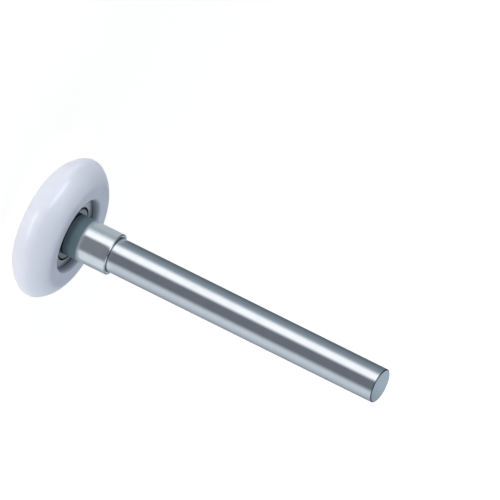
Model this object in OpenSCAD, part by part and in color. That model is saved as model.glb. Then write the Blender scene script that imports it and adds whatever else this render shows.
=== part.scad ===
// Garage door roller: a nylon wheel moulded round a shielded ball bearing, on a
// riveted steel stem with a spacer sleeve. It stands on the wheel's outer side,
// with its axis on +Z and the stem pointing up. Millimetres.

/* [Stem] */
// Diameter of the stem
stem_d = 11; // [10.8:0.1:12]
// Length of bare stem beyond the sleeve
stem_reach = 93; // [40:1:200]
// Chamfer round the stem's free end
stem_chamfer = 0.4; // [0.2:0.1:1]
// Chamfer round the shoulder that clamps the sleeve
shoulder_chamfer = 0.2; // [0.1:0.05:0.25]
// Diameter of the riveted head behind the bearing
head_d = 13.4; // [12:0.1:14.4]
// Height of the riveted head
head_h = 1.4; // [1:0.1:1.6]
// Height of the riveted head's straight edge, below its dome
head_edge_h = 0.5; // [0.3:0.1:0.7]
// Diameter of the dimple that the riveting tool leaves
dimple_d = 3; // [1.5:0.1:5]
// Depth of the dimple
dimple_h = 0.5; // [0.2:0.1:0.8]

/* [Sleeve] */
// Outer diameter of the spacer sleeve
sleeve_d = 13.3; // [12.6:0.1:15]
// Length of the spacer sleeve
sleeve_l = 14.8; // [5:0.1:40]
// Chamfer on the sleeve's outer edges
sleeve_chamfer = 0.25; // [0.1:0.05:0.35]

/* [Bearing] */
// Bore of the bearing's inner ring
bearing_bore = 10; // [8.5:0.1:10.2]
// Outer diameter of the bearing
bearing_d = 30; // [28.4:0.1:31]
// Width of the bearing
bearing_w = 9; // [8.4:0.1:9.4]
// Outer diameter of the inner ring's shoulders
inner_ring_d = 16.7; // [16.2:0.1:17]
// Inner diameter of the outer ring's shoulders
outer_ring_bore = 23.3; // [22.8:0.1:23.8]
// Chamfer on the rings' corners
ring_chamfer = 0.3; // [0.15:0.05:0.35]
// Diameter of the balls
ball_d = 4.762; // [4.5:0.001:4.9]
// Groove radius as a share of the ball's diameter
groove_ratio = 0.52; // [0.51:0.005:0.54]

/* [Shields] */
// Sheet thickness of the shields
shield_t = 0.3; // [0.2:0.05:0.4]
// Width of the ledge in the outer ring that a shield seats on
shield_ledge = 1.15; // [0.9:0.05:1.7]
// Depth of a shield's face below the bearing's face
shield_set = 0.05; // [0.05:0.05:0.4]
// Running gap between a shield and the inner ring
shield_gap = 0.4; // [0.2:0.05:0.5]

/* [Cage] */
// Sheet thickness of the cage's halves
cage_t = 0.45; // [0.35:0.05:0.55]
// Gap between the cage's ribbon and each ring's shoulder
cage_gap = 0.55; // [0.45:0.05:0.75]
// Gap between a ball and its pocket
pocket_gap = 0.12; // [0.08:0.01:0.16]
// Shank diameter of the cage's rivets
rivet_d = 0.8; // [0.6:0.05:0.9]
// Margin between a rivet's head and the pockets beside it
rivet_margin = 0.175; // [0.125:0.025:0.325]

/* [Tyre] */
// Diameter of the wheel over its tread
tyre_d = 45; // [44:0.5:50]
// Width of the wheel over its side lands
tyre_w = 13.2; // [12.6:0.1:14.2]
// Radius of the rounded crown of the tread
crown_r = 4.1; // [3.4:0.1:4.8]
// Radius of the flanks on either side of the crown
side_r = 10.3; // [9.6:0.1:11.5]
// Radius that rounds each flank over into its side land
land_r = 4; // [1:0.5:5]
// Inner diameter of the flat land on the wheel's side
land_d = 30.8; // [28:0.1:31.2]
// Diameter of the mouth of the recess
mouth_d = 24.2; // [23:0.1:25.5]
// Depth of the mouth's edge below the side land
mouth_set = 0.2; // [0.1:0.05:1.2]
// Inner diameter of the lip that holds the bearing
lip_d = 21.8; // [20.4:0.1:22.4]
// Radius that softens the edge of the recess's mouth
mouth_r = 0.8; // [0.2:0.1:1]

/* [Fits] */
// Clearance of fits that don't turn, measured along a radius
press_gap = 0.01; // [0.01:0.005:0.03]
// Clearance between each ball and its groove
race_gap = 0.03; // [0.02:0.005:0.05]

/* [Hidden] */
$fn = 96;

ball_count = 8;
ball_step = 360 / ball_count;
crown_a = 30;                                  // where the crown's arc gives way to the flank's
hub_z = tyre_w / 2;                            // middle plane of the wheel and the bearing
ring_face = bearing_w / 2;                     // bearing's face, from the middle plane
pitch_r = (inner_ring_d + outer_ring_bore) / 4;   // circle through the balls' centres
ball_r = ball_d / 2;
groove_r = groove_ratio * ball_d;
inner_groove = pitch_r - ball_r - race_gap;    // bottom of the inner ring's groove
outer_groove = pitch_r + ball_r + race_gap;    // bottom of the outer ring's groove
seat_r = outer_ring_bore / 2 + shield_ledge;   // wall round a shield's seat
pocket_r = ball_r + pocket_gap;
pocket_out_r = pocket_r + cage_t;
cage_in_r = inner_ring_d / 2 + cage_gap;
cage_out_r = outer_ring_bore / 2 - cage_gap;
cage_land = 2 * (pitch_r * sin(ball_step / 2) - pocket_out_r);   // flat between two pockets
rivet_head_d = cage_land - 2 * rivet_margin;
shield_face = ring_face - shield_set;
seat_face = shield_face - 2 * shield_t;        // ledge that carries the shield
rivet_head_h = 0.3;

steel = [0.78, 0.81, 0.84];
bright_steel = [0.86, 0.87, 0.88];
dark_steel = [0.55, 0.56, 0.58];
nylon = [0.9, 0.92, 0.96];

// ---- helpers -------------------------------------------------------------

// Section of a ring from radius a to radius b and from height z0 to z1, with a
// chamfer of c_in on the corners of its bore and c_out on its outer corners
module ring_section(a, b, z0, z1, c_in, c_out) {
    polygon([[a + c_in, z0], [b - c_out, z0], [b, z0 + c_out], [b, z1 - c_out],
             [b - c_out, z1], [a + c_in, z1], [a, z1 - c_in], [a, z0 + c_in]]);
}

// Points of the arc of radius r that rounds corner p of an outline, coming from
// point a and going on to point b
function rounded_corner(p, a, b, r, steps = 6) =
    let (to_a = (a - p) / norm(a - p),
         to_b = (b - p) / norm(b - p),
         half = acos(to_a * to_b) / 2,
         middle = (to_a + to_b) / norm(to_a + to_b),
         centre = p + middle * r / sin(half),
         first = p + to_a * r / tan(half) - centre,
         last = p + to_b * r / tan(half) - centre)
    [for (i = [0:steps])
        let (mix = first + (last - first) * i / steps)
        centre + mix * r / norm(mix)];

// Its children, carried to each ball's place round the axis
module at_each_ball(turn = 0) {
    for (i = [0:ball_count - 1])
        rotate([0, 0, i * ball_step + turn]) translate([pitch_r, 0, 0]) children();
}

// A section above the middle plane, and its mirror image below
module both_sides() {
    children();
    mirror([0, 1]) children();
}

// ---- stem and sleeve -----------------------------------------------------

// Section of the riveted head: a straight edge under a shallow dome, measured
// down from the bearing's back face
module head_section() {
    dome_h = head_h - head_edge_h;
    dome_r = (pow(head_d / 2, 2) + pow(dome_h, 2)) / (2 * dome_h);
    intersection() {
        translate([0, dome_r - head_h]) circle(r = dome_r, $fn = 360);
        translate([0, -head_h]) square([head_d / 2, head_h]);
    }
}

// One bar: the riveted head, a journal through the bearing and the sleeve, and
// the stem, whose shoulder clamps them against the head
module stem() {
    back_z = hub_z - ring_face;
    shoulder_z = hub_z + ring_face + sleeve_l;
    end_z = shoulder_z + stem_reach;
    stem_r = stem_d / 2;
    journal_r = bearing_bore / 2 - press_gap;
    dimple_r = (pow(dimple_d / 2, 2) + pow(dimple_h, 2)) / (2 * dimple_h);
    color(steel)
    difference() {
        rotate_extrude() {
            translate([0, back_z]) head_section();
            translate([0, back_z]) square([journal_r, shoulder_z - back_z]);
            polygon([[0, shoulder_z], [stem_r - shoulder_chamfer, shoulder_z],
                     [stem_r, shoulder_z + shoulder_chamfer], [stem_r, end_z - stem_chamfer],
                     [stem_r - stem_chamfer, end_z], [0, end_z]]);
        }
        translate([0, 0, back_z - head_h + dimple_h - dimple_r]) sphere(r = dimple_r);
    }
}

// Tube that spaces the wheel from the hinge, between the inner ring and the
// stem's shoulder
module sleeve() {
    color(steel)
    translate([0, 0, hub_z + ring_face])
    rotate_extrude()
        ring_section(bearing_bore / 2, sleeve_d / 2, 0, sleeve_l, 0, sleeve_chamfer);
}

// ---- bearing -------------------------------------------------------------

module inner_ring() {
    color(bright_steel)
    translate([0, 0, hub_z])
    rotate_extrude()
    difference() {
        ring_section(bearing_bore / 2, inner_ring_d / 2, -ring_face, ring_face, ring_chamfer, ring_chamfer);
        translate([inner_groove + groove_r, 0]) circle(r = groove_r);
    }
}

module outer_ring() {
    color(bright_steel)
    translate([0, 0, hub_z])
    rotate_extrude()
    difference() {
        ring_section(outer_ring_bore / 2, bearing_d / 2, -ring_face, ring_face, 0, ring_chamfer);
        translate([outer_groove - groove_r, 0]) circle(r = groove_r);
        both_sides() translate([0, seat_face]) square([seat_r, bearing_w]);
    }
}

module ball(i) {
    color(bright_steel)
    translate([0, 0, hub_z])
    rotate([0, 0, (i - 1) * ball_step]) translate([pitch_r, 0, 0]) sphere(r = ball_r);
}

// Upper half of the pressed ribbon cage, on the bearing's middle plane: flat
// lands where the halves meet, with a round pocket over each ball
module cage_half() {
    difference() {
        intersection() {
            union() {
                cylinder(r = cage_out_r, h = cage_t);
                at_each_ball() sphere(r = pocket_out_r);
            }
            rotate_extrude()
                translate([cage_in_r, 0]) square([cage_out_r - cage_in_r, pocket_out_r]);
        }
        at_each_ball() sphere(r = pocket_r);
        at_each_ball(ball_step / 2) cylinder(r = rivet_d / 2 + press_gap, h = 3 * cage_t, center = true);
    }
}

module cage_front() {
    color(dark_steel) translate([0, 0, hub_z]) cage_half();
}

module cage_back() {
    color(dark_steel) translate([0, 0, hub_z]) mirror([0, 0, 1]) cage_half();
}

// One rivet through each pair of lands, with a head on either side
module cage_rivets() {
    color(steel)
    translate([0, 0, hub_z])
    at_each_ball(ball_step / 2) {
        cylinder(d = rivet_d, h = 2 * cage_t, center = true);
        for (side = [0, 1]) mirror([0, 0, side])
            translate([0, 0, cage_t]) cylinder(d = rivet_head_d, h = rivet_head_h);
    }
}

// Section of the pressed shield above the middle plane: a flat face that stops
// short of the inner ring, a step down to the seat and a rim turned up inside it
module shield_section() {
    inner_r = inner_ring_d / 2 + shield_gap;
    rim_r = seat_r - press_gap;
    step_r = outer_ring_bore / 2;
    low = shield_face - shield_t;
    polygon([[inner_r, low], [step_r - shield_t, low], [step_r, seat_face],
             [rim_r, seat_face], [rim_r, shield_face], [rim_r - shield_t, shield_face],
             [rim_r - shield_t, seat_face + shield_t], [step_r + shield_t / 2, seat_face + shield_t],
             [step_r - shield_t / 2, shield_face], [inner_r, shield_face]]);
}

module shield_front() {
    color(steel) translate([0, 0, hub_z]) rotate_extrude() shield_section();
}

module shield_back() {
    color(steel) translate([0, 0, hub_z]) mirror([0, 0, 1]) rotate_extrude() shield_section();
}

// ---- tyre ----------------------------------------------------------------

// Solid outline of the tread: a crown arc, a flatter flank arc on either side
// that takes over from it at crown_a, and a tighter arc that rounds each flank
// over into a side land at the full width
module tread_section() {
    crown_x = tyre_d / 2 - crown_r;
    side_x = crown_x - (side_r - crown_r) * cos(crown_a);
    side_z = (side_r - crown_r) * sin(crown_a);
    reach = side_r - land_r;                   // from the flank arc's centre to the land arc's
    rise = hub_z - land_r + side_z;            // the part of it along the axis
    land_x = side_x + sqrt(max(0, reach * reach - rise * rise));
    meet_z = rise * side_r / reach - side_z;   // where the land's arc meets the flank's
    intersection() {
        translate([side_x, -side_z]) circle(r = side_r);
        translate([side_x, side_z]) circle(r = side_r);
        union() {
            translate([0, -hub_z]) square([land_x, tyre_w]);
            translate([0, -meet_z]) square([tyre_d / 2, 2 * meet_z]);
            both_sides() translate([land_x, hub_z - land_r]) circle(r = land_r);
        }
    }
    translate([crown_x, 0]) circle(r = crown_r);
}

// What the dished side and the tapered recess take away above the bearing
module recess_section() {
    lip = [lip_d / 2, ring_face];
    mouth = [mouth_d / 2, hub_z - mouth_set];
    land = [land_d / 2, hub_z];
    polygon(concat([[0, ring_face], lip], rounded_corner(mouth, lip, land, mouth_r),
                   [land, land + [0, 1], [0, hub_z + 1]]));
}

// Nylon tyre moulded round the outer ring, with a lip over each of its faces
module tyre() {
    color(nylon)
    translate([0, 0, hub_z])
    rotate_extrude()
    difference() {
        tread_section();
        both_sides() recess_section();
        translate([0, -ring_face]) square([lip_d / 2, bearing_w]);
        ring_section(0, bearing_d / 2 + press_gap, -ring_face, ring_face, 0, ring_chamfer);
    }
}

stem();
sleeve();
inner_ring();
outer_ring();
ball(1);  // ball_1
ball(2);  // ball_2
ball(3);  // ball_3
ball(4);  // ball_4
ball(5);  // ball_5
ball(6);  // ball_6
ball(7);  // ball_7
ball(8);  // ball_8
cage_front();
cage_back();
cage_rivets();
shield_front();
shield_back();
tyre();
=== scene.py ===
# %% [markdown]
# # A garage door roller, dressed for the studio
# The roller is a nylon wheel moulded round a small ball bearing, riveted onto a
# zinc-plated steel stem, with a spacer sleeve between the two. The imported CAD
# model comes first and stays where it is: every piece below takes its place
# from that frame. It stands on the wheel's outer side with its stem upright.

# %% Load the frame
import math

import bmesh
import bpy
from mathutils import Matrix, Vector


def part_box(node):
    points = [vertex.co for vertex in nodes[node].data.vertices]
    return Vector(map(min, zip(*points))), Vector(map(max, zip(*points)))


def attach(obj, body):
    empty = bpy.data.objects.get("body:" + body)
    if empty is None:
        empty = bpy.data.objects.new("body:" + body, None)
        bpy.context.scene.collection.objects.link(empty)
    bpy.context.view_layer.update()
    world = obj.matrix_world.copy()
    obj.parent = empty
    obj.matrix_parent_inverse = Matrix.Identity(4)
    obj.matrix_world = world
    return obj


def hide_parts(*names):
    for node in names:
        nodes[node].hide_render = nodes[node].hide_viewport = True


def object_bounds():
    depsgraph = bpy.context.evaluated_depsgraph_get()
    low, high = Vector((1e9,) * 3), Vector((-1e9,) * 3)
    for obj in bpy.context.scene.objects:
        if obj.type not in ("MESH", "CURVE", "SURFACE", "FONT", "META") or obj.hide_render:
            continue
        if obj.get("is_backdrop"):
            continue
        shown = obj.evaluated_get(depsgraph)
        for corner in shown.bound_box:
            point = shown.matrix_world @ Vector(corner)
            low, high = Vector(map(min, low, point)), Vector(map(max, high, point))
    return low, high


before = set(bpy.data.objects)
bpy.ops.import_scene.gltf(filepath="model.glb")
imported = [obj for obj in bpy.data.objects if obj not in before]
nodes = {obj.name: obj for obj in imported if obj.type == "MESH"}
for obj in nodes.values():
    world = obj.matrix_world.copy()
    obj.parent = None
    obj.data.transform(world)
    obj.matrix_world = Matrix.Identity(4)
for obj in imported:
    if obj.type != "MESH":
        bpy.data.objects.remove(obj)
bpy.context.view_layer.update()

# %% [markdown]
# ## The sizes that all pieces share
# Everything is turned about one axis, so a piece is known by radii and heights
# in millimetres. The main ones are read from the frame's boxes. The small ones
# are the part's own, but three are drawn finer here than in the solid: the
# stem's two chamfers and the rounding of the recess's mouth. Most corners also
# get a fine rounding.

# %% Radii and heights from the frame
MM = 0.001


def reach(node):
    """Outer radius, lowest and highest point of a turned node, in millimetres."""
    low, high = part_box(node)
    return high.x / MM, low.z / MM, high.z / MM


tread_radius, _, wheel_width = reach("tyre")
sleeve_radius, sleeve_bottom, sleeve_top = reach("sleeve")
shoulder_radius, bearing_bottom, bearing_top = reach("inner_ring")
head_radius, head_bottom, stem_top = reach("stem")
rim_radius, _, shield_top = reach("shield_front")
bearing_radius = reach("outer_ring")[0]
hub = wheel_width / 2
print("hub plane at", round(hub, 2), "mm, stem top at", round(stem_top, 2), "mm")

# %% [markdown]
# ## Drawing half a section and turning it
# A lathe or a mould makes a round part from its section. Here a section is a
# chain of edges in the XZ plane. It could be a curve with a Screw modifier, but
# a bmesh keeps each corner at hand, so a corner can be rounded before the spin.
# Real metal and plastic have no perfectly sharp corner, and the small rounding
# is what catches a line of light.

# %% A section from its corners
LATHE_STEPS = 192


def draw_section(corners, closed=True):
    """A chain of edges through (radius, height, rounding) corners in millimetres."""
    bm = bmesh.new()
    verts = [bm.verts.new((r * MM, 0, z * MM)) for r, z, _ in corners]
    ends = verts[1:] + verts[:1] if closed else verts[1:]
    for a, b in zip(verts, ends):
        bm.edges.new((a, b))
    for rounding in sorted({c[2] for c in corners if c[2] > 0}):
        chosen = [v for v, c in zip(verts, corners) if c[2] == rounding and v.is_valid]
        bmesh.ops.bevel(bm, geom=chosen, offset=rounding * MM, offset_type="OFFSET", segments=4,
                        profile=0.5, affect="VERTICES", material=-1)
    return bm


# %% A full turn about the axis
def turn(bm, name, body, *nodes, slot=None):
    """Spins the section into a closed solid that stands for its CAD nodes."""
    bmesh.ops.spin(bm, geom=bm.verts[:] + bm.edges[:], cent=(0, 0, 0), axis=(0, 0, 1), dvec=(0, 0, 0),
                   angle=math.tau, steps=LATHE_STEPS, use_merge=True, use_duplicate=False)
    bmesh.ops.remove_doubles(bm, verts=bm.verts[:], dist=1e-7)
    bmesh.ops.recalc_face_normals(bm, faces=bm.faces[:])
    for face in bm.faces:
        face.smooth = True
    closed = all(edge.is_manifold for edge in bm.edges)
    mesh = bpy.data.meshes.new(name)
    bm.to_mesh(mesh)
    bm.free()
    piece = bpy.data.objects.new(name, mesh)
    bpy.context.scene.collection.objects.link(piece)
    weigh = piece.modifiers.new("flat faces stay flat", "WEIGHTED_NORMAL")
    weigh.weight = 100
    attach(piece, body)
    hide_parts(*nodes)
    print(name, len(mesh.polygons), "faces, closed:", closed)
    return piece


# %% [markdown]
# ## The tyre
# The tyre is injection-moulded nylon. Its tread is a tight crown arc that runs
# into a flatter flank arc on either side, a tighter arc rounds each flank over
# into the side, and the side dishes slightly in to the mouth of the recess that
# shows the bearing. The arcs are made by spinning one point about each arc's
# own centre, so they meet without a corner. The other half is a mirror image.

# %% Centres of the tread's arcs, from the wheel's middle plane
CROWN_RADIUS, FLANK_RADIUS, SHOULDER_RADIUS, CROWN_ANGLE = 4.1, 10.3, 4.0, 30.0
CROWN_STEPS, FLANK_STEPS, SHOULDER_STEPS = 14, 16, 10
tilt = Vector((math.cos(math.radians(CROWN_ANGLE)), math.sin(math.radians(CROWN_ANGLE))))
crown_centre = Vector((tread_radius - CROWN_RADIUS, 0))
flank_centre = crown_centre - (FLANK_RADIUS - CROWN_RADIUS) * tilt
between = FLANK_RADIUS - SHOULDER_RADIUS
rise = hub - SHOULDER_RADIUS - flank_centre.y
shoulder_centre = flank_centre + Vector((math.sqrt(between ** 2 - rise ** 2), rise))
shoulder_angle = math.degrees(math.asin(rise / between))
print("shoulder arc starts at", round(shoulder_angle, 1), "degrees")


def spin_point(bm, point, centre, degrees, steps):
    """Sweeps a point round a centre in the section plane and returns the last point."""
    made = bmesh.ops.spin(bm, geom=[point], cent=(centre.x * MM, 0, centre.y * MM), axis=(0, -1, 0),
                          dvec=(0, 0, 0), angle=math.radians(degrees), steps=steps,
                          use_merge=False, use_duplicate=False)
    return next(v for v in made["geom_last"] if isinstance(v, bmesh.types.BMVert))


# %% Half section of the tyre, mirrored and turned
LAND_RADIUS, LIP_RADIUS, MOUTH_RADIUS, MOUTH_SET = 15.4, 10.9, 12.1, 0.2
RING_CHAMFER, PRESS_GAP = 0.3, 0.01
ring_face = (bearing_top - bearing_bottom) / 2
seat_radius = bearing_radius + PRESS_GAP
tyre_bm = draw_section([
    (LAND_RADIUS, hub, 0.2),
    (MOUTH_RADIUS, hub - MOUTH_SET, 0.6),
    (LIP_RADIUS, ring_face, 0.12),
    (seat_radius - RING_CHAMFER, ring_face, 0),
    (seat_radius, ring_face - RING_CHAMFER, 0),
    (seat_radius, 0, 0),
], closed=False)
crown_top = tyre_bm.verts.new((tread_radius * MM, 0, 0))
arc_end = spin_point(tyre_bm, crown_top, crown_centre, CROWN_ANGLE, CROWN_STEPS)
arc_end = spin_point(tyre_bm, arc_end, flank_centre, shoulder_angle - CROWN_ANGLE, FLANK_STEPS)
arc_end = spin_point(tyre_bm, arc_end, shoulder_centre, 90 - shoulder_angle, SHOULDER_STEPS)
inner_land = max((v for v in tyre_bm.verts if len(v.link_edges) == 1 and v is not arc_end),
                 key=lambda v: v.co.z)
tyre_bm.edges.new((arc_end, inner_land))
bmesh.ops.mirror(tyre_bm, geom=tyre_bm.verts[:] + tyre_bm.edges[:], matrix=Matrix.Identity(4),
                 merge_dist=1e-6, axis="Z")
bmesh.ops.translate(tyre_bm, verts=tyre_bm.verts[:], vec=(0, 0, hub * MM))
tyre = turn(tyre_bm, "moulded_tyre", "wheel", "tyre", slot="moulded_nylon")

# %% [markdown]
# ## The stem
# One bar of drawn steel: a head riveted over the bearing, a journal through the
# bearing and the sleeve, and the bare stem that slides in the door's hinge. Its
# free end has a small turned chamfer.

# %% Section of the stem
STEM_RADIUS, STEM_CHAMFER, SHOULDER_CHAMFER = 5.5, 0.3, 0.04
JOURNAL_RADIUS = 4.99
HEAD_HEIGHT, HEAD_EDGE, DIMPLE_RADIUS, DIMPLE_DEPTH = 1.4, 0.5, 1.5, 0.5
dome_height = HEAD_HEIGHT - HEAD_EDGE
dome_radius = (head_radius ** 2 + dome_height ** 2) / (2 * dome_height)
dimple_sphere = (DIMPLE_RADIUS ** 2 + DIMPLE_DEPTH ** 2) / (2 * DIMPLE_DEPTH)
dome_centre = head_bottom + dome_radius


def dome_height_at(r):
    """Height of the riveted dome's underside at a radius."""
    return dome_centre - math.sqrt(dome_radius ** 2 - r ** 2)


def dimple_height_at(r):
    """Height of the riveting tool's dimple at a radius."""
    return head_bottom + DIMPLE_DEPTH - dimple_sphere + math.sqrt(dimple_sphere ** 2 - r ** 2)


DIMPLE_STEPS, DOME_STEPS, DIMPLE_RIM = 6, 12, 0.15
dimple_steps = [DIMPLE_RADIUS * i / DIMPLE_STEPS for i in range(DIMPLE_STEPS)]
dome_steps = [DIMPLE_RADIUS + (head_radius - DIMPLE_RADIUS) * i / DOME_STEPS for i in range(DOME_STEPS)]
stem_corners = [(r, dimple_height_at(r), 0) for r in dimple_steps]
stem_corners += [(r, dome_height_at(r), 0 if i else DIMPLE_RIM) for i, r in enumerate(dome_steps)]
stem_corners += [
    (head_radius, bearing_bottom - HEAD_EDGE, 0.12), (head_radius, bearing_bottom, 0.08),
    (JOURNAL_RADIUS, bearing_bottom, 0), (JOURNAL_RADIUS, sleeve_top, 0),
    (STEM_RADIUS - SHOULDER_CHAMFER, sleeve_top, 0), (STEM_RADIUS, sleeve_top + SHOULDER_CHAMFER, 0),
    (STEM_RADIUS, stem_top - STEM_CHAMFER, 0.1), (STEM_RADIUS - STEM_CHAMFER, stem_top, 0.1),
    (0, stem_top, 0),
]
stem = turn(draw_section(stem_corners, closed=False), "plated_stem", "stem", "stem", slot="zinc_plated_steel")

# %% [markdown]
# ## The sleeve and the inner ring
# The sleeve is a cut length of tube with its outer edges broken. The ring next
# to it is the only part of the bearing that stands still, and its ground face
# shows between the sleeve and the shield.

# %% Turn the sleeve and the ring
SLEEVE_CHAMFER = 0.25
bore_radius = JOURNAL_RADIUS + PRESS_GAP
sleeve = turn(draw_section([
    (bore_radius, sleeve_bottom, 0), (sleeve_radius - SLEEVE_CHAMFER, sleeve_bottom, 0.08),
    (sleeve_radius, sleeve_bottom + SLEEVE_CHAMFER, 0.08), (sleeve_radius, sleeve_top - SLEEVE_CHAMFER, 0.08),
    (sleeve_radius - SLEEVE_CHAMFER, sleeve_top, 0.08), (bore_radius, sleeve_top, 0),
]), "spacer_sleeve", "stem", "sleeve", slot="zinc_plated_steel")

BALL_RADIUS, PITCH_RADIUS, RACE_GAP, GROOVE_SHARE = 2.381, 10.0, 0.03, 1.04
groove_radius = GROOVE_SHARE * BALL_RADIUS
groove_centre = PITCH_RADIUS - BALL_RADIUS - RACE_GAP + groove_radius
groove_half = math.sqrt(groove_radius ** 2 - (groove_centre - shoulder_radius) ** 2)
groove = [(groove_centre - math.sqrt(groove_radius ** 2 - z ** 2), hub + z, 0)
          for z in [groove_half * (i / 5 - 1) for i in range(11)]]
low, high = bearing_bottom, bearing_top
ring = turn(draw_section([
    (bore_radius + RING_CHAMFER, low, 0.08), (shoulder_radius - RING_CHAMFER, low, 0.08),
    (shoulder_radius, low + RING_CHAMFER, 0.08), *groove,
    (shoulder_radius, high - RING_CHAMFER, 0.08), (shoulder_radius - RING_CHAMFER, high, 0.08),
    (bore_radius + RING_CHAMFER, high, 0.08), (bore_radius, high - RING_CHAMFER, 0.08),
    (bore_radius, low + RING_CHAMFER, 0.08),
]), "ground_inner_ring", "stem", "inner_ring", slot="bearing_steel")

# %% [markdown]
# ## The shields
# Each shield is pressed from thin sheet: a flat face, a step down to its seat
# in the outer ring, and a rim turned up. Pressing leaves soft bends, so every
# corner of the sheet is rounded.

# %% Turn one shield and mirror the other
SHEET, SHIELD_GAP, STEP_RADIUS = 0.3, 0.4, 11.65
shield_inner = shoulder_radius + SHIELD_GAP
shield_face = shield_top - hub
seat_face = shield_face - 2 * SHEET


def shield(name, node, side):
    """A pressed shield on the upper (1) or lower (-1) face of the bearing."""
    outline = [
        (shield_inner, shield_face - SHEET, 0.06), (STEP_RADIUS - SHEET, shield_face - SHEET, 0.1),
        (STEP_RADIUS, seat_face, 0.05), (rim_radius, seat_face, 0.12), (rim_radius, shield_face, 0.1),
        (rim_radius - SHEET, shield_face, 0.1), (rim_radius - SHEET, seat_face + SHEET, 0.05),
        (STEP_RADIUS + SHEET / 2, seat_face + SHEET, 0.05), (STEP_RADIUS - SHEET / 2, shield_face, 0.15),
        (shield_inner, shield_face, 0.1),
    ]
    return turn(draw_section([(r, hub + side * z, c) for r, z, c in outline]),
                name, "wheel", node, slot="shield_steel")


shields = [shield("upper_shield", "shield_front", 1), shield("lower_shield", "shield_back", -1)]

# %% [markdown]
# ## Building materials from nodes
# Every finish below is procedural. One function adds a node, sets it up and
# links it. Colours are written as sRGB hex, as a paint chart gives them, and
# one function turns them into the linear values that the shader works with.

# %% Helpers for materials
def linear(hex_colour):
    """Linear RGBA from an sRGB hex colour such as "8c9aa5"."""
    parts = [int(hex_colour[i:i + 2], 16) / 255 for i in (0, 2, 4)]
    return tuple(c / 12.92 if c <= 0.04045 else ((c + 0.055) / 1.055) ** 2.4 for c in parts) + (1,)


def add(tree, kind, inputs=None, **settings):
    """Adds a node, gives it settings, and fills its inputs with values or links."""
    node = tree.nodes.new(kind)
    for key, value in settings.items():
        setattr(node, key, value)
    for key, value in (inputs or {}).items():
        if isinstance(value, bpy.types.NodeSocket):
            tree.links.new(value, node.inputs[key])
        else:
            node.inputs[key].default_value = value
    return node


def new_material(name):
    """An empty node tree with an output, ready for add()."""
    material = bpy.data.materials.new(name)
    material.use_nodes = True
    material.node_tree.nodes.clear()
    return material, material.node_tree


def ramp(tree, factor, stops):
    """A colour ramp through (position, hex colour) stops."""
    node = add(tree, "ShaderNodeValToRGB", {"Fac": factor})
    while len(node.color_ramp.elements) < len(stops):
        node.color_ramp.elements.new(0.5)
    for element, (position, colour) in zip(node.color_ramp.elements, stops):
        element.position = position
        element.color = linear(colour)
    return node.outputs["Color"]


def wear(*pieces, material):
    """Gives pieces one material in their first slot."""
    for piece in pieces:
        piece.data.materials.clear()
        piece.data.materials.append(material)
    print(material.name, "on", len(pieces), "pieces")


# %% [markdown]
# ## Moulded nylon
# Nylon 6 from a polished mould is a cool, milky white. It lets a little light
# in, so its shadows are soft, and its surface has a satin gloss with a faint
# orange-peel ripple about a millimetre across, where it shrank in the mould.
# The recess wall has a painted grey shade, darkest at its foot.

# %% Nylon for the tyre
nylon, tree = new_material("moulded_nylon")
place = add(tree, "ShaderNodeTexCoord").outputs["Object"]
peel = add(tree, "ShaderNodeTexNoise", {"Vector": place, "Scale": 900.0, "Detail": 2.0, "Roughness": 0.5})
flow = add(tree, "ShaderNodeTexNoise", {"Vector": place, "Scale": 70.0, "Detail": 3.0, "Roughness": 0.55})
tint = ramp(tree, flow.outputs["Fac"], [(0.35, "e2e5ee"), (0.65, "e9ebf3")])
upright = add(tree, "ShaderNodeSeparateXYZ", {"Vector": place}).outputs["Z"]
offset = add(tree, "ShaderNodeMath", {0: upright, 1: hub * MM}, operation="SUBTRACT").outputs["Value"]
from_hub = add(tree, "ShaderNodeMath", {0: offset}, operation="ABSOLUTE").outputs["Value"]
flat = add(tree, "ShaderNodeVectorMath", {0: place, 1: (1, 1, 0)}, operation="MULTIPLY").outputs["Vector"]
radius = add(tree, "ShaderNodeVectorMath", {0: flat}, operation="LENGTH").outputs["Value"]
# The recess wall gets a painted shade: darkest at its foot by the shield, lightest at the mouth.
depth = add(tree, "ShaderNodeMapRange", {"Value": from_hub, "From Min": ring_face * MM,
                                         "From Max": (hub - MOUTH_SET) * MM}).outputs["Result"]
inside = add(tree, "ShaderNodeMapRange", {"Value": radius, "From Min": MOUTH_RADIUS * MM,
                                          "From Max": (MOUTH_RADIUS + 0.4) * MM,
                                          "To Min": 1.0, "To Max": 0.0}).outputs["Result"]
painted_recess_shade = ramp(tree, depth, [(0.0, "82868b"), (0.5, "b6babf"), (1.0, "eceef0")])
tint_with_painted_shade = add(tree, "ShaderNodeMixRGB", {"Fac": inside, "Color1": tint, "Color2": painted_recess_shade},
            blend_type="MULTIPLY").outputs["Color"]
gloss = add(tree, "ShaderNodeMapRange", {"Value": flow.outputs["Fac"], "From Min": 0.3, "From Max": 0.7,
                                         "To Min": 0.3, "To Max": 0.36}).outputs["Result"]
ripple = add(tree, "ShaderNodeBump", {"Height": peel.outputs["Fac"], "Strength": 0.12, "Distance": 0.00004})
nylon_shader = add(tree, "ShaderNodeBsdfPrincipled", {
    "Base Color": tint_with_painted_shade, "Roughness": gloss, "IOR": 1.53, "Normal": ripple.outputs["Normal"],
    "Subsurface Weight": 0.15, "Subsurface Radius": (1.0, 0.95, 0.9), "Subsurface Scale": 0.0009})
add(tree, "ShaderNodeOutputMaterial", {"Surface": nylon_shader.outputs["BSDF"]})
wear(tyre, material=nylon)

# %% [markdown]
# ## Bright zinc plating
# Zinc from a bright bath over drawn steel mirrors its surroundings with a
# slight haze. Drawing the bar leaves hair-fine lines along it, far too fine to
# show, so they are drawn coarser here and only stir the gloss. The chamfer at
# the free end is duller and darker, a painted dark reflection, and the sleeve's
# foot has a painted dark reflection of the nylon recess, with a duller gloss.

# %% Zinc for the stem and sleeve
# Gloss of the painted dark reflection on the sleeve's foot.
PAINTED_FOOT_ROUGHNESS = 0.5


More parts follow.
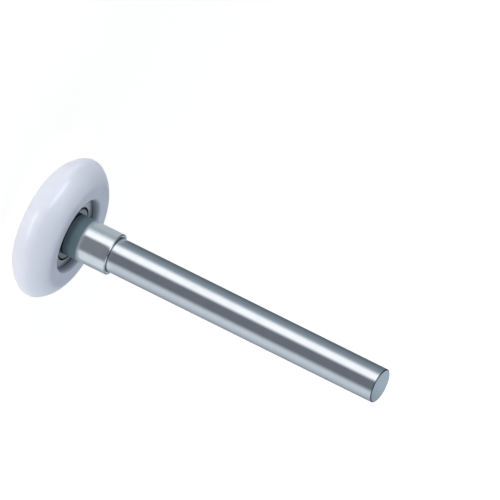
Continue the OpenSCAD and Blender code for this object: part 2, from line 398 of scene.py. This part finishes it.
def zinc(name, base, rough_low, rough_high, painted_foot=None):
    """Bright zinc plating with drawn lines along the axis and a faint haze.

    The last argument paints a dark reflection on the foot, with a duller gloss: its colour, and the heights
    where it starts to thin and is gone, in millimetres.
    """
    material, tree = new_material(name)
    place = add(tree, "ShaderNodeTexCoord").outputs["Object"]
    stretched = add(tree, "ShaderNodeMapping", {"Vector": place, "Scale": (1800, 1800, 25)}).outputs["Vector"]
    lines = add(tree, "ShaderNodeTexNoise", {"Vector": stretched, "Scale": 1.0, "Detail": 3.0})
    haze = add(tree, "ShaderNodeTexNoise", {"Vector": place, "Scale": 220.0, "Detail": 4.0, "Roughness": 0.6})
    stirred = add(tree, "ShaderNodeMath", {0: lines.outputs["Fac"], 1: haze.outputs["Fac"]},
                  operation="MULTIPLY").outputs["Value"]
    rough = add(tree, "ShaderNodeMapRange", {"Value": stirred, "From Min": 0.12, "From Max": 0.4,
                                             "To Min": rough_low, "To Max": rough_high}).outputs["Result"]
    tone = ramp(tree, haze.outputs["Fac"], [(0.3, base[0]), (0.7, base[1])])
    bare = 1.0
    # Painted dark reflection on the foot: no metal, a duller gloss, fading out upwards.
    if painted_foot:
        upright = add(tree, "ShaderNodeSeparateXYZ", {"Vector": place}).outputs["Z"]
        bare = add(tree, "ShaderNodeMapRange", {"Value": upright, "From Min": painted_foot[1] * MM,
                                                "From Max": painted_foot[2] * MM}).outputs["Result"]
        tone = add(tree, "ShaderNodeMixRGB", {"Fac": bare, "Color1": linear(painted_foot[0]),
                                              "Color2": tone}).outputs["Color"]
        rough = add(tree, "ShaderNodeMapRange", {"Value": bare, "To Min": PAINTED_FOOT_ROUGHNESS,
                                                 "To Max": rough}).outputs["Result"]
    drawn = add(tree, "ShaderNodeBump", {
        "Height": lines.outputs["Fac"], "Strength": 0.06, "Distance": 0.00001})
    shader = add(tree, "ShaderNodeBsdfPrincipled", {
        "Base Color": tone, "Metallic": bare, "Roughness": rough, "Normal": drawn.outputs["Normal"]})
    add(tree, "ShaderNodeOutputMaterial", {"Surface": shader.outputs["BSDF"]})
    return material


BRIGHT = "dde2e6", "e6eaed"
# The sleeve's foot has a painted dark reflection of the nylon recess, teal grey, fading out above.
PAINTED_FOOT_THINS, PAINTED_FOOT_ENDS = 4.6, 5.4  # millimetres above the sleeve's foot
PAINTED_FOOT_REFLECTION = "65777f", sleeve_bottom + PAINTED_FOOT_THINS, sleeve_bottom + PAINTED_FOOT_ENDS
wear(stem, material=zinc("bright_zinc_plating", BRIGHT, 0.10, 0.16))
# The chamfer at the free end: darker plating as a painted dark reflection, with a duller gloss.
stem.data.materials.append(zinc("edge_plating_painted_dark", ("6a737a", "777f86"), 0.3, 0.36))
for face in stem.data.polygons:  # the chamfer at the free end, by its height and its slope
    if face.center.z > (stem_top - STEM_CHAMFER - 0.01) * MM and 0.25 < face.normal.z < 0.95:
        face.material_index = 1
wear(sleeve, material=zinc("zinc_plating_painted_foot", BRIGHT, 0.10, 0.16, PAINTED_FOOT_REFLECTION))

# %% [markdown]
# ## Ground bearing steel and pressed shield steel
# The bearing's ring is through-hardened chromium steel with ground faces: warm
# grey, with fine rings left by the grinding wheel. The shields are pressed from
# bright sheet. Balls and raceways are lapped to a mirror, and the cage is plain
# pressed sheet with a duller skin.

# %% Steels of the bearing
def steel(name, base, roughness, rings_per_mm=6.0, ring_depth=0.3):
    """Steel turned or ground about the axis: fine rings in gloss and relief."""
    material, tree = new_material(name)
    place = add(tree, "ShaderNodeTexCoord").outputs["Object"]
    rings = add(tree, "ShaderNodeTexWave", {"Vector": place, "Scale": rings_per_mm * 1000 / math.tau,
                                            "Distortion": 1.5, "Detail": 2.0},
                wave_type="RINGS", rings_direction="Z")
    spots = add(tree, "ShaderNodeTexNoise", {"Vector": place, "Scale": 1200.0, "Detail": 3.0})
    tone = ramp(tree, spots.outputs["Fac"], [(0.3, base[0]), (0.7, base[1])])
    rough = add(tree, "ShaderNodeMapRange", {"Value": rings.outputs["Fac"],
                                             "To Min": roughness - 0.04, "To Max": roughness + 0.05})
    relief = add(tree, "ShaderNodeBump", {"Height": rings.outputs["Fac"], "Strength": ring_depth,
                                          "Distance": 0.000003})
    shader = add(tree, "ShaderNodeBsdfPrincipled", {
        "Base Color": tone, "Metallic": 1.0, "Roughness": rough.outputs["Result"],
        "Normal": relief.outputs["Normal"]})
    add(tree, "ShaderNodeOutputMaterial", {"Surface": shader.outputs["BSDF"]})
    return material


BALL_COUNT = 8
wear(ring, material=steel("ground_bearing_steel", ("8b8888", "979493"), 0.16))
wear(*shields, material=steel("pressed_shield_steel", ("cccdcf", "d8d9da"), 0.2, 3.0, 0.15))
wear(nodes["outer_ring"], material=steel("turned_ring_steel", ("b4b6b8", "c2c4c6"), 0.3))
wear(*[nodes[f"ball_{i}"] for i in range(1, BALL_COUNT + 1)],
     material=steel("lapped_ball_steel", ("cdd0d2", "d9dbdd"), 0.08, 3.0, 0.02))
wear(nodes["cage_front"], nodes["cage_back"], nodes["cage_rivets"],
     material=steel("pressed_cage_steel", ("8d9094", "9c9fa2"), 0.36, 2.0, 0.1))

# %% [markdown]
# ## Floor, tent and lamps
# A bright rod shows nothing but its surroundings, so a photographer stands it
# in a tent of white and grey cards. Here a ring is spun round the roller, and a
# few plain cards stand side by side on it, each from one bearing to another
# with a soft blend in between, so the stem shows them as long bands. Separate
# flat cards would leave hard edges in the metal. The tall tent serves the stem
# and a low ring inside it serves the sleeve, and only glossy rays meet them.
# Soft lamps light the nylon and leave no mark in the gloss; slim ones do the
# opposite and draw the streaks on the tread. The floor is a pale sheet that
# keeps the shadow and turns white in the open.

# %% The pale floor
def seen_by(tree, *rays):
    """1 for the kinds of ray that are named, else 0."""
    path = add(tree, "ShaderNodeLightPath")
    seen = path.outputs[rays[0]]
    for ray in rays[1:]:
        seen = add(tree, "ShaderNodeMath", {0: seen, 1: path.outputs[ray]},
                   operation="MAXIMUM").outputs["Value"]
    return seen


FLOOR_SEEN, FLOOR_GLOW = 0.575, 0.34
FLOOR_RADIUS, FLOOR_SINK = 3.0, 0.00002  # metres; sunk a hair below the wheel
floor_paper, tree = new_material("pale_floor_paper")
diffuse = add(tree, "ShaderNodeBsdfDiffuse", {"Color": linear("e8e8e8")})
strength = add(tree, "ShaderNodeMapRange", {
    "Value": seen_by(tree, "Is Camera Ray", "Is Transmission Ray"),
    "To Min": FLOOR_GLOW, "To Max": FLOOR_SEEN}).outputs["Result"]
glow = add(tree, "ShaderNodeEmission", {"Color": linear("fff9f0"), "Strength": strength})
both = add(tree, "ShaderNodeAddShader", {0: diffuse.outputs["BSDF"], 1: glow.outputs["Emission"]})
add(tree, "ShaderNodeOutputMaterial", {"Surface": both.outputs["Shader"]})


def stage_object(name, bm, material):
    """Links a mesh that isn't part of the roller."""
    mesh = bpy.data.meshes.new(name)
    bm.to_mesh(mesh)
    bm.free()
    thing = bpy.data.objects.new(name, mesh)
    bpy.context.scene.collection.objects.link(thing)
    mesh.materials.append(material)
    thing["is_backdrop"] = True
    return thing


bm = bmesh.new()
bmesh.ops.create_circle(bm, cap_ends=True, radius=FLOOR_RADIUS, segments=96)
bmesh.ops.translate(bm, verts=bm.verts[:], vec=(0, 0, -FLOOR_SINK))
stage_object("floor", bm, floor_paper)

# %% Cards that only glossy rays meet
def bearing_to_share(degrees):
    """Where a compass bearing from the front (-Y, positive towards +X) falls on the gradient."""
    return ((degrees + 90) / 360) % 1


def card_material(name, cards, strength):
    """Glowing cards, each from one bearing to another; in between they blend. The outer side is clear."""
    material, tree = new_material(name)
    place = add(tree, "ShaderNodeTexCoord").outputs["Object"]
    bearing = add(tree, "ShaderNodeTexGradient", {"Vector": place}, gradient_type="RADIAL").outputs["Fac"]
    stops = [(bearing_to_share(edge), shade) for start, end, shade in cards for edge in (start, end)]
    shade = ramp(tree, bearing, sorted(stops))
    light = add(tree, "ShaderNodeEmission", {"Color": shade, "Strength": strength})
    clear = add(tree, "ShaderNodeBsdfTransparent")
    outside = add(tree, "ShaderNodeNewGeometry").outputs["Backfacing"]
    card = add(tree, "ShaderNodeMixShader", {
        0: outside, 1: light.outputs["Emission"], 2: clear.outputs["BSDF"]})
    add(tree, "ShaderNodeOutputMaterial", {"Surface": card.outputs["Shader"]})
    return material


def card_ring(name, radius, bottom, top, material, inner=None):
    """A ring of card round the stem that faces inwards, or down if it has an inner radius; millimetres."""
    bm = bmesh.new()
    edge = [bm.verts.new((0, -r * MM, z * MM)) for r, z in ((radius, bottom), (inner or radius, top))]
    bm.edges.new(edge)
    bmesh.ops.spin(bm, geom=bm.verts[:] + bm.edges[:], cent=(0, 0, 0), axis=(0, 0, 1), dvec=(0, 0, 0),
                   angle=math.tau, steps=128, use_merge=True, use_duplicate=False)
    bmesh.ops.recalc_face_normals(bm, faces=bm.faces[:])
    if bm.faces[0].normal.dot(bm.faces[0].calc_center_median()) > 0:  # away from the roller
        bmesh.ops.reverse_faces(bm, faces=bm.faces[:])
    ring = stage_object(name, bm, material)
    ring.visible_camera = ring.visible_diffuse = ring.visible_shadow = ring.visible_transmission = False
    print(name, "radius", radius, "mm")


CARD_STRENGTH = 1.3
TENT_RADIUS, TENT_BOTTOM, TENT_TOP = 60.0, 1.0, 260.0
LOW_RADIUS, LOW_BOTTOM, LOW_TOP = 40.0, 0.5, 14.7
TOP_SHADE, TOP_HOLE = "2d3238", 35.0

card_ring("tent", TENT_RADIUS, TENT_BOTTOM, TENT_TOP, card_material("tent_cards", [
    (-160, -128, "5c646a"), (-95, -88, "76808a"), (-74, -70, "8a949c"), (-48, -23, "f6f6f9"),
    (-5, 43, "656a71"), (67, 88, "bcc2ca"), (155, 168, "757e86"), (180, 188, "98a6af"),
], CARD_STRENGTH))

card_ring("low_cards", LOW_RADIUS, LOW_BOTTOM, LOW_TOP, card_material("low_cards", [
    (-80, -68, "9ea6ac"), (-45, -28, "fafbfc"), (-15, 48, "75797f"), (66, 98, "ccd3d7"),
    (132, 140, "8a959e"), (180, 262, "a8afb6"),
], CARD_STRENGTH))

top_card = card_material("top_card", [(0, 180, TOP_SHADE)], 1.0)
card_ring("top_card", TENT_RADIUS + 2, TENT_TOP + 1, TENT_TOP + 1, top_card, inner=TOP_HOLE)

# %% Slim lamps that only glossy rays meet
def round_tread(radius, bearing, height):
    """A place round the tread, from a bearing in degrees and two sizes in millimetres."""
    turned = math.radians(bearing)
    return Vector((radius * math.sin(turned), -radius * math.cos(turned), height)) * MM


def slim_lamp(name, start, end, width, radiance):
    """A strip lamp from start to end, turned to the hub, that lights gloss alone. The width is in mm."""
    middle, along = (start + end) / 2, (end - start).normalized()
    away = middle - Vector((0, 0, hub * MM))
    away = (away - along * away.dot(along)).normalized()
    data = bpy.data.lights.new(name, "AREA")
    data.shape, data.size, data.size_y = "RECTANGLE", (end - start).length, width * MM
    data.energy = radiance * math.pi * data.size * data.size_y
    strip = bpy.data.objects.new(name, data)
    turned = Matrix((along, away.cross(along), away)).transposed().to_4x4()
    strip.matrix_world = Matrix.Translation(middle) @ turned
    strip.visible_camera = strip.visible_diffuse = strip.visible_transmission = False
    bpy.context.scene.collection.objects.link(strip)
    print(name, round(data.size / MM, 1), "mm long")


slim_lamp("low strip", round_tread(25.5, 21, 2), round_tread(25.5, -3, 1.5), 1.8, 4.0)
slim_lamp("middle strip", round_tread(24.5, -12, 9), round_tread(24, -41, 9.5), 1.6, 3.8)
slim_lamp("tread strip", round_tread(26.5, -42, 5), round_tread(25.5, -70, 7), 1.2, 1.8)

# %% Soft lamps
def lamp(name, azimuth, height, distance, width, tall, watts):
    """A softbox that looks at the wheel. Azimuth 0 is in front, 90 on the +X side; metres."""
    data = bpy.data.lights.new(name, "AREA")
    data.shape, data.size, data.size_y, data.energy = "RECTANGLE", width, tall, watts
    box = bpy.data.objects.new(name, data)
    place = Vector((math.sin(math.radians(azimuth)), -math.cos(math.radians(azimuth)), 0)) * distance
    place.z = height
    away = place - Vector((0, 0, min(height, hub * MM)))
    box.matrix_world = Matrix.Translation(place) @ away.to_track_quat("Z", "Y").to_matrix().to_4x4()
    box.visible_glossy = False
    bpy.context.scene.collection.objects.link(box)
    print(name, watts, "W")


lamp("front strip", -20, 0.016, 0.25, 0.13, 0.03, 0.195)
lamp("side strip", 100, 0.016, 0.25, 0.13, 0.03, 0.18)
lamp("back softbox left", -150, 0.16, 0.6, 0.3, 0.3, 0.45)
lamp("back softbox right", 150, 0.16, 0.6, 0.3, 0.3, 0.39)

# %% Fill light and white backdrop
world = bpy.data.worlds.new("studio")
bpy.context.scene.world = world
world.use_nodes = True
world.node_tree.nodes.clear()
tree = world.node_tree
FILL_COLOUR, FILL_STRENGTH = "e8f2ff", 0.54
fill = add(tree, "ShaderNodeBackground", {"Color": linear(FILL_COLOUR), "Strength": FILL_STRENGTH})
backdrop = add(tree, "ShaderNodeBackground", {"Color": (1, 1, 1, 1), "Strength": 1.0})
sky = add(tree, "ShaderNodeMixShader", {
    0: seen_by(tree, "Is Camera Ray", "Is Glossy Ray", "Is Transmission Ray"), 1: fill.outputs["Background"],
    2: backdrop.outputs["Background"]})
add(tree, "ShaderNodeOutputWorld", {"Surface": sky.outputs["Shader"]})
print("fill strength", FILL_STRENGTH)

# %% [markdown]
# ## The camera
# The roller is looked at from a little above, so that the stem's free end shows,
# with a parallel (orthographic) view like a long lens far away. The camera is
# rolled on its axis, so the upright stem runs down to the right in the view.

# %% A rolled camera above the front
ELEVATION, ROLL = 18.5, 116.376
FRAME_MM, HUB_RIGHT, HUB_UP = 149.16, -56.50, 6.68
a, roll = math.radians(ELEVATION), math.radians(ROLL)
to_camera = Vector((0, -math.cos(a), math.sin(a)))
level, upright = Vector((1, 0, 0)), Vector((0, math.sin(a), math.cos(a)))
right = math.cos(roll) * level + math.sin(roll) * upright
up = -math.sin(roll) * level + math.cos(roll) * upright
aim = Vector((0, 0, hub)) - HUB_RIGHT * right - HUB_UP * up
camera = bpy.data.objects.new("camera", bpy.data.cameras.new("camera"))
camera.data.type, camera.data.ortho_scale = "ORTHO", FRAME_MM * MM
camera.data.clip_start, camera.data.clip_end = 0.01, 10.0
camera.matrix_world = Matrix((right, up, to_camera)).transposed().to_4x4()
camera.matrix_world.translation = aim * MM + to_camera * 1.0
bpy.context.scene.collection.objects.link(camera)
bpy.context.scene.camera = camera
bpy.context.scene.view_settings.view_transform = "Standard"

# %% [markdown]
# ## Sizes, and the end of the lesson
# The dressed model has to fill the same box as the CAD model, so its box is
# printed in millimetres.

# %% Write the sizes and finish
low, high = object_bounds()
print("visual box in mm:", [round(1000 * x, 2) for x in high - low])
